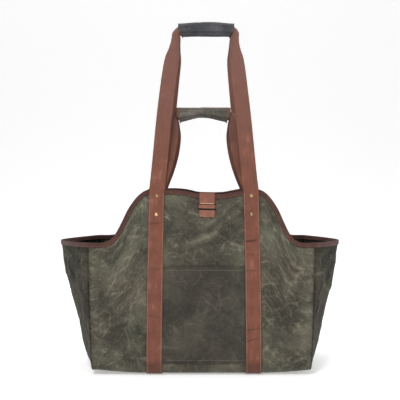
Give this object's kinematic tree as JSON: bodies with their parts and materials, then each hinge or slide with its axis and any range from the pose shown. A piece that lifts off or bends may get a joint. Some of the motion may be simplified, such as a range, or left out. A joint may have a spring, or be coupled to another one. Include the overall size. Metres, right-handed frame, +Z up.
{
  "type": "canvas log carrier bag",
  "caption": "Open waxed-canvas carrier with raised front and rear, low bulging sides, webbing straps under the base, long and short handle loops with canvas grips, and a front pocket.",
  "frame": {"origin": "bottom centre of the bounding box, on the floor that the straps under the base rest on", "axes": "+X along the length to the right seen from the front, +Y from the front panel to the rear one, +Z up along the handles"},
  "size_m": [0.7196, 0.3042, 0.875],
  "materials": {
    "canvas": "waxed cotton canvas, dark olive, matt with paler crease marks",
    "grip_canvas": "waxed cotton canvas, slate grey-green, rubbed",
    "webbing": "woven cotton webbing, reddish brown, with stitched edges",
    "binding": "folded woven tape, dark red-brown",
    "rivet": "polished, slightly dulled"
  },
  "bodies": {
    "root": {"body_canvas": "canvas", "side_gusset_left": "canvas", "side_gusset_right": "canvas", "rim_binding": "binding", "front_pocket": "canvas", "front_long_strap": "webbing", "rear_long_strap": "webbing", "front_short_handle": "webbing", "rear_short_handle": "webbing", "long_handle_wrap": "grip_canvas", "short_handle_wrap": "grip_canvas", "closure_tab": "webbing", "closure_patch": "webbing", "rivet_front_left_1": "rivet", "rivet_front_left_2": "rivet", "rivet_front_right_1": "rivet", "rivet_front_right_2": "rivet", "rivet_rear_left_1": "rivet", "rivet_rear_left_2": "rivet", "rivet_rear_right_1": "rivet", "rivet_rear_right_2": "rivet"}
  },
  "joints": []
}
